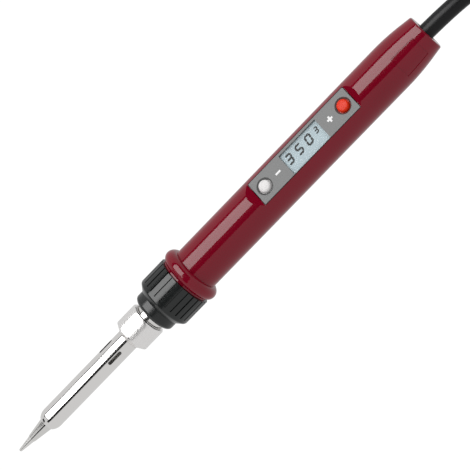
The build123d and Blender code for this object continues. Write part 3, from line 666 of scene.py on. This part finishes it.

# ---------------------------------------------------------------- sleeve
# Drawn and polished steel tube with a domed nose, four vents and a turned flange that the nut
# pulls on. Its bore is painted brown-black and dull, as painted shade.

nose, flange_rear = stations("sleeve")
dome_l = 3.4
dome_r = 5.6
tube_r = 4.65
land_r = 4.48
bore_r = 4.2
dome_points = []
dome_steps = 8
for step in range(dome_steps + 1):
    back_from_end = dome_l * (1 - step / dome_steps)
    radius = tube_r - dome_r + math.sqrt(dome_r**2 - back_from_end**2)
    dome_points.append((nose + dome_l - back_from_end, radius))
sleeve_form = turned(
    tool_outline(
        (nose, 3.06),
        *dome_points,
        (flange_rear - 3.8, tube_r),
        (flange_rear - 3.8, land_r),
        (flange_rear - 1.0, land_r),
        (flange_rear - 1.0, 6.0, 0.12),
        (flange_rear, 6.0, 0.12),
        (flange_rear, bore_r),
        (nose + 2.3, bore_r),
        (nose + 1.8, 3.75),
        (nose + 1.8, 3.06),
    ),
    steps=128,
)


def upright_edges(form, least):
    """The edges of a form that rise by more than a least height."""
    return [e for e in form.edges if abs(e.verts[0].co.z - e.verts[1].co.z) > least]


def turn_and_move(form, by, angle, axis="X"):
    """Turns a form about an axis through the origin, then moves it."""
    bmesh.ops.rotate(form, cent=(0, 0, 0), matrix=Matrix.Rotation(angle, 3, axis), verts=form.verts)
    bmesh.ops.translate(form, vec=by, verts=form.verts)


vent_l = 7.1
vent_w = 1.46
vent_x = tip_x + (nose + 36.1 + vent_l / 2) * mm
first_vent = -48
vent_tools = []
for vent in range(4):
    slot = block(
        (-vent_l / 2 * mm, -vent_w / 2 * mm, 3.6 * mm),
        (vent_l / 2 * mm, vent_w / 2 * mm, 5.4 * mm),
    )
    round_edges(slot, upright_edges(slot, mm), vent_w * 0.499 * mm, 8)
    turn_and_move(slot, (vent_x, 0, axis_z), math.radians(first_vent + 90 * vent))
    vent_tools.append(slot)
sleeve_form = cut(sleeve_form, *vent_tools)
sleeve_steel, paint, shader = finish("polished sleeve steel", (0.66, 0.65, 0.63), 0.1, 1.0)
where = paint.node("ShaderNodeTexCoord", output="Object")
on_axis = {"Vector": where, "Location": (0, 0, -axis_z), "Scale": (0, 1, 1)}
centred = paint.node("ShaderNodeMapping", inputs=on_axis)
from_axis = paint.node("ShaderNodeVectorMath", {"operation": "LENGTH"}, {0: centred}, output=1)
along = paint.node("ShaderNodeSeparateXYZ", inputs={"Vector": where})
# The tube's bore is painted dark, dull and barely metallic: painted shade within the sleeve.
painted_shade_inside = (from_axis < (bore_r + 0.1) * mm) * (along > tip_x + (nose + 1.9) * mm)
streaks = speckle(paint, 2600.0, 3.0, (0.03, 1, 1))
feed(shader, "Base Color", blend(paint, painted_shade_inside, (0.9, 0.885, 0.87), (0.03, 0.022, 0.018)))
feed(shader, "Roughness", streaks * 0.08 + painted_shade_inside * 0.5 + 0.06)
feed(shader, "Metallic", 1.0 - painted_shade_inside * 0.7)
emboss(shader, streaks, 0.3, 0.006)
build(sleeve_form, "steel_sleeve", sleeve_steel, "sleeve", "steel", "sleeve")

# ---------------------------------------------------------------- knurled nut
# Nickel-plated nut with a fine, shallow diamond knurl between two turned chamfers. It screws on the bush
# and holds the sleeve by its flange.

nut_front, nut_rear = stations("knurled_nut")
nut_r = 7.7
knurl_start = nut_front + 1.95
knurl_end = nut_rear - 0.6
knurl_depth = 0.03
knurl_rows = 32
knurl_steps = 180
knurl = [
    (knurl_start + (knurl_end - knurl_start) * row / knurl_rows, nut_r) for row in range(knurl_rows + 1)
]
nut_form = turned(
    tool_outline(
        (nut_front, 4.7),
        (nut_front, 4.95),
        (nut_front + 1.8, nut_r - 0.02, 0.1),
        *knurl,
        (nut_rear - 0.45, nut_r - 0.02, 0.15),
        (nut_rear, nut_r - 0.5, 0.12),
        (nut_rear, 6.33),
        (nut_front + 2.2, 6.33),
        (nut_front + 2.2, 4.7),
    ),
    steps=knurl_steps,
)
row_l = (knurl_end - knurl_start) * mm / knurl_rows
step_turn = math.tau / knurl_steps


def knurl_place(point):
    """Which row and step of the knurl a point is on, or None off the knurl."""
    row = (point.x - tip_x - knurl_start * mm) / row_l
    if math.hypot(point.y, point.z - axis_z) < (nut_r - 0.01) * mm or not -0.1 < row < knurl_rows + 0.1:
        return None
    return round(row), round(math.atan2(point.z - axis_z, point.y) / step_turn)


valleys = set()
for vert in nut_form.verts:
    spot = knurl_place(vert.co)
    if spot and 0 < spot[0] < knurl_rows and (spot[0] + spot[1]) % 2:
        valleys.add(vert)
for quad in [f for f in nut_form.faces if len(f.verts) == 4 and any(v in valleys for v in f.verts)]:
    ends = [v for v in quad.verts if v in valleys]
    if len(ends) == 2:
        bmesh.utils.face_split(quad, ends[0], ends[1])
for vert in valleys:
    outward = Vector((0, vert.co.y, vert.co.z - axis_z)).normalized()
    vert.co -= outward * knurl_depth * mm
nut_plate = grained(
    "nickel-plated nut", (0.95, 0.935, 0.925), 0.24, 0.05, 1500.0, 0.01, metallic=1.0, shade=0.05
)
build(nut_form, "diamond_nut", nut_plate, "knurled_nut", "nickel", "knurled_nut", sharp=12.0)

# ---------------------------------------------------------------- ribbed nut
# Black moulded nut with 26 narrow grooves between its ribs, a plain rim in front and a chamfer.
# It screws on the handle and holds the front ring.

rib_front, rib_rear = stations("ribbed_nut")
rib_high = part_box("ribbed_nut")[1]
rib_r = 11.94
grooves = 26
groove_w = 0.62
groove_depth = 0.55
first_groove = 17
rib_form = turned(
    tool_outline(
        (rib_front, 9.18),
        (rib_front, 9.45, 0.1),
        (rib_front + 2.2, rib_r, 0.5),
        (rib_rear, rib_r, 0.15),
        (rib_rear, 10.08),
        (rib_front + 2.4, 10.08),
        (rib_front + 2.4, 9.18),
    ),
    steps=156,
)
groove_front = tip_x + (rib_front + 3.8) * mm
groove_set = bmesh.new()
for groove in range(grooves):
    tool = block(
        (groove_front, -groove_w / 2 * mm, (rib_r - groove_depth) * mm),
        (rib_high.x + mm, groove_w / 2 * mm, (rib_r + 1) * mm),
    )
    turn_and_move(tool, (0, 0, axis_z), math.radians(first_groove) + math.tau * groove / grooves)
    gather(groove_set, tool)
rib_form = cut(rib_form, groove_set)
rib_plastic = grained("ribbed black plastic", (0.012, 0.014, 0.014), 0.18, 0.05, 1100.0, 0.03, shade=0.2)
build(rib_form, "ribbed_collar", rib_plastic, "ribbed_nut", "black_plastic", "ribbed_nut", sharp=25.0)

# ---------------------------------------------------------------- handle
# One glossy wine-red moulding: neck, bead ring, grip and tapered rear. The mould's polish shows
# as clear reflections, with a very slight waviness.

red, paint, shader = finish("wine-red gloss plastic", (0.215, 0.001, 0.014), 0.1, Specular_IOR_Level=0.42)
flow = speckle(paint, 60.0, 2.0)
grain = speckle(paint, 1500.0, 2.0)
feed(shader, "Base Color", blend(paint, flow, (0.205, 0.0008, 0.012), (0.23, 0.0015, 0.016)))
feed(shader, "Roughness", grain * 0.06 + 0.06)
emboss(shader, flow, 0.15, 0.05)
coat("handle_shell", red)

# ---------------------------------------------------------------- electronics
# Circuit board in green solder resist, with its tact switches, controller, triac, resistors and
# capacitor. Mains wires come from the lead, and the earth wire runs on to the earth ring.

inner_finishes = {
    "circuit_board": grained(
        "green solder resist", (0.012, 0.09, 0.035), 0.35, 0.08, 600.0, 0.03, shade=0.25
    ),
    "tact_switches": grained("black switch plastic", (0.03, 0.03, 0.03), 0.5, 0.1, 1200.0, 0.03),
    "board_components": grained("component epoxy", (0.025, 0.025, 0.027), 0.55, 0.1, 1500.0, 0.04, shade=0.2),
    "display_module": grained("display backlight", (0.5, 0.52, 0.52), 0.4, 0.1, 900.0, 0.02),
    "mains_wires": grained("brown wire insulation", (0.16, 0.06, 0.02), 0.35, 0.08, 900.0, 0.02),
    "earth_wire": grained("green wire insulation", (0.12, 0.3, 0.03), 0.35, 0.08, 900.0, 0.02),
    "cord_grommet": jacket,
    "cord_clamp": grained("zinc-plated collar", (0.55, 0.55, 0.56), 0.4, 0.1, 1200.0, 0.03, metallic=1.0),
}
for node, material in inner_finishes.items():
    coat(node, material)

# ---------------------------------------------------------------- display
# Pale reflective liquid crystal display, whose dark segments read 350 with a small raised 3,
# under a clear window that is flush with the panel.

window_low, window_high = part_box("display_window")
film_top = window_low.z - 0.03 * mm
film, paint, shader = finish("reflective display film", (0.6, 0.68, 0.72), 0.6, Specular_IOR_Level=0.15)
dots = speckle(paint, 4000.0, 2.0)
cloud = speckle(paint, 150.0, 2.0)
feed(shader, "Base Color", blend(paint, dots * 0.3 + cloud * 0.7, (0.6, 0.7, 0.75), (0.64, 0.74, 0.79)))
film_low = (window_low.x, window_low.y, film_top - 0.05 * mm)
film_form = block(film_low, (window_high.x, window_high.y, film_top))
build(film_form, "display_film", film, "handle", "display_glass")

segment_bars = {
    "top": (0, 1, 0), "middle": (0, 0.5, 0), "bottom": (0, 0, 0),
    "upper_left": (-0.5, 0.75, 1), "upper_right": (0.5, 0.75, 1),
    "lower_left": (-0.5, 0.25, 1), "lower_right": (0.5, 0.25, 1),
}
lit_segments = {
    "3": ("top", "middle", "bottom", "upper_right", "lower_right"),
    "5": ("top", "middle", "bottom", "upper_left", "lower_right"),
    "0": ("top", "bottom", "upper_left", "upper_right", "lower_left", "lower_right"),
}
digits = bmesh.new()
digit_slant = 0.14
text_middle = (window_low.y + window_high.y) / 2 + 1.2 * mm
for figure, station, width, height, low_y in (
    ("3", 160.3, 2.3, 3.7, -1.85), ("5", 165.6, 2.3, 3.7, -1.85),
    ("0", 170.75, 2.3, 3.7, -1.85), ("3", 175.2, 1.4, 2.2, -0.55),
):
    bar_w = 0.84 * (height / 3.7) ** 0.8
    for segment in lit_segments[figure]:
        across, above, upright = segment_bars[segment]
        length = height / 2 if upright else width
        bar = block((-length / 2 * mm, -bar_w / 2 * mm, 0), (length / 2 * mm, bar_w / 2 * mm, 0.02 * mm))
        round_edges(bar, upright_edges(bar, 0.01 * mm), bar_w * 0.42 * mm, 1)
        upright_turn = math.pi / 2 if upright else 0.0
        turn_and_move(bar, (across * width * mm, above * height * mm, 0), upright_turn, "Z")
        for vert in bar.verts:
            vert.co.x += vert.co.y * digit_slant
        bar_x = tip_x + (station - height * digit_slant / 2) * mm
        spot = (bar_x, text_middle + low_y * mm, film_top + 0.005 * mm)
        bmesh.ops.translate(bar, vec=spot, verts=bar.verts)
        gather(digits, bar)
segment_ink = grained("dark display segments", (0.004, 0.006, 0.008), 0.6, 0.08, 2500.0, 0.005, shade=0.3)
build(digits, "display_digits", segment_ink, "handle", "display_glass")

clear = bpy.data.materials.new("clear window")
clear.use_nodes = True
paint = Paint(clear.node_tree)
clear.node_tree.nodes.remove(clear.node_tree.nodes["Principled BSDF"])
see_through = paint.node("ShaderNodeBsdfTransparent", inputs={"Color": (0.97, 0.98, 0.98, 1)})
gloss = paint.node("ShaderNodeBsdfGlossy", inputs={"Roughness": 0.05})
edge_gloss = paint.node("ShaderNodeFresnel", inputs={"IOR": 1.45})
window_mix = paint.node("ShaderNodeMixShader", inputs={0: edge_gloss * 0.06, 1: see_through, 2: gloss})
clear.node_tree.links.new(window_mix.socket, clear.node_tree.nodes["Material Output"].inputs["Surface"])
coat("display_window", clear)

# ---------------------------------------------------------------- control panel
# Satin grey plate with rounded edges, countersunk round each button and open for the display.
# A printed minus and plus stand beside their buttons.

panel_low, panel_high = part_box("control_panel")
panel_gap = 0.16 * mm  # shadow line round the panel
panel_form = block(
    (panel_low.x + panel_gap, panel_low.y + panel_gap, panel_low.z),
    (panel_high.x - panel_gap, panel_high.y - 0.3 * panel_gap, panel_high.z),
)
round_edges(panel_form, upright_edges(panel_form, 0.5 * mm), 0.5 * mm, 5)
top_rim = [e for e in panel_form.edges if all(abs(v.co.z - panel_high.z) < 1e-6 for v in e.verts)]
round_edges(panel_form, top_rim, 0.16 * mm, 3)
button_hole_r = 2.85
button_sink_r = 3.45
hole_tools = []
for button in ("minus_button", "plus_button"):
    button_low, button_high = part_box(button)
    centre = Vector(((button_low.x + button_high.x) / 2, 0, 0))
    drill = bmesh.new()
    corners = [
        drill.verts.new((r * mm, 0, z))
        for r, z in (
            (0, panel_low.z - mm),
            (button_hole_r, panel_low.z - mm),
            (button_hole_r, panel_high.z - 0.6 * mm),
            (button_sink_r, panel_high.z),
            (button_sink_r + 0.1, panel_high.z + 0.5 * mm),
            (0, panel_high.z + 0.5 * mm),
        )
    ]
    for near, far in zip(corners, corners[1:]):
        drill.edges.new((near, far))
    spin_round(drill, (0, 0, 1), 64)
    bmesh.ops.translate(drill, vec=centre, verts=drill.verts)
    hole_tools.append(drill)
hole_tools.append(
    block(
        (window_low.x - 0.05 * mm, window_low.y - 0.05 * mm, panel_low.z - mm),
        (window_high.x + 0.05 * mm, window_high.y + 0.05 * mm, panel_high.z + mm),
    )
)
panel_form = cut(panel_form, *hole_tools)
grey = grained("satin grey panel", (0.125, 0.127, 0.127), 0.42, 0.07, 2200.0, 0.03, shade=0.07)
build(panel_form, "grey_panel", grey, "handle", "grey_panel", "control_panel")

ink = grained("white print", (0.95, 0.95, 0.95), 0.5, 0.08, 2500.0, 0.005, shade=0.03)
marks = bmesh.new()
mark_w = 0.8
for station, y, length, width in (
    (153.6, 0, 2.5, mark_w),
    (182.0, 0, 2.6, mark_w),
    (182.0, (1.3 + mark_w / 2) / 2, mark_w, 1.3 - mark_w / 2),
    (182.0, -(1.3 + mark_w / 2) / 2, mark_w, 1.3 - mark_w / 2),
):
    stroke = block(
        (-length / 2 * mm, (y - width / 2) * mm, 0),
        (length / 2 * mm, (y + width / 2) * mm, 0.02 * mm),
    )
    bmesh.ops.translate(stroke, vec=(tip_x + station * mm, 0, panel_high.z + 0.002 * mm), verts=stroke.verts)
    gather(marks, stroke)
build(marks, "panel_marks", ink, "handle", "grey_panel")

# ---------------------------------------------------------------- buttons
# Glossy domed caps, white for minus and orange-red for plus, with a flange under the panel and a
# boss over the tact switch.

for node, piece_name, cap_colour, body, slot_name in (
    ("minus_button", "minus_cap", (0.88, 0.86, 0.86), "minus_button", "white_plastic"),
    ("plus_button", "plus_cap", (0.85, 0.035, 0.006), "plus_button", "orange_plastic"),
):
    low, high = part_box(node)
    cap_r = 2.45 * mm
    boss_r = 1.7 * mm
    flange_r = (high.y - low.y) / 2
    flange_low = low.z + 0.05 * mm
    dome_h = 0.45 * mm
    rim_z = high.z - dome_h
    cap_profile = [
        (low.z, 0),
        (low.z, boss_r),
        (flange_low, boss_r),
        (flange_low, flange_r, 0.08 * mm),
        (flange_low + 0.6 * mm, flange_r, 0.08 * mm),
        (flange_low + 0.6 * mm, cap_r),
        (rim_z, cap_r, 0.5 * mm),
    ]
    dome = (cap_r**2 + dome_h**2) / (2 * dome_h)
    for step in range(1, 6):
        r = cap_r * (1 - step / 5) * 0.97
        cap_profile.append((high.z - dome + math.sqrt(dome**2 - r**2), r))
    cap_form = turned(cap_profile, steps=64, centre=(0, 0), closed=False)
    turn_and_move(cap_form, ((low.x + high.x) / 2, 0, 0), -math.pi / 2, "Y")
    gloss_cap = grained(
        f"{piece_name} gloss", cap_colour, 0.28, 0.05, 1500.0, 0.01, shade=0.04, Specular_IOR_Level=0.15
    )
    build(cap_form, piece_name, gloss_cap, body, slot_name, node)
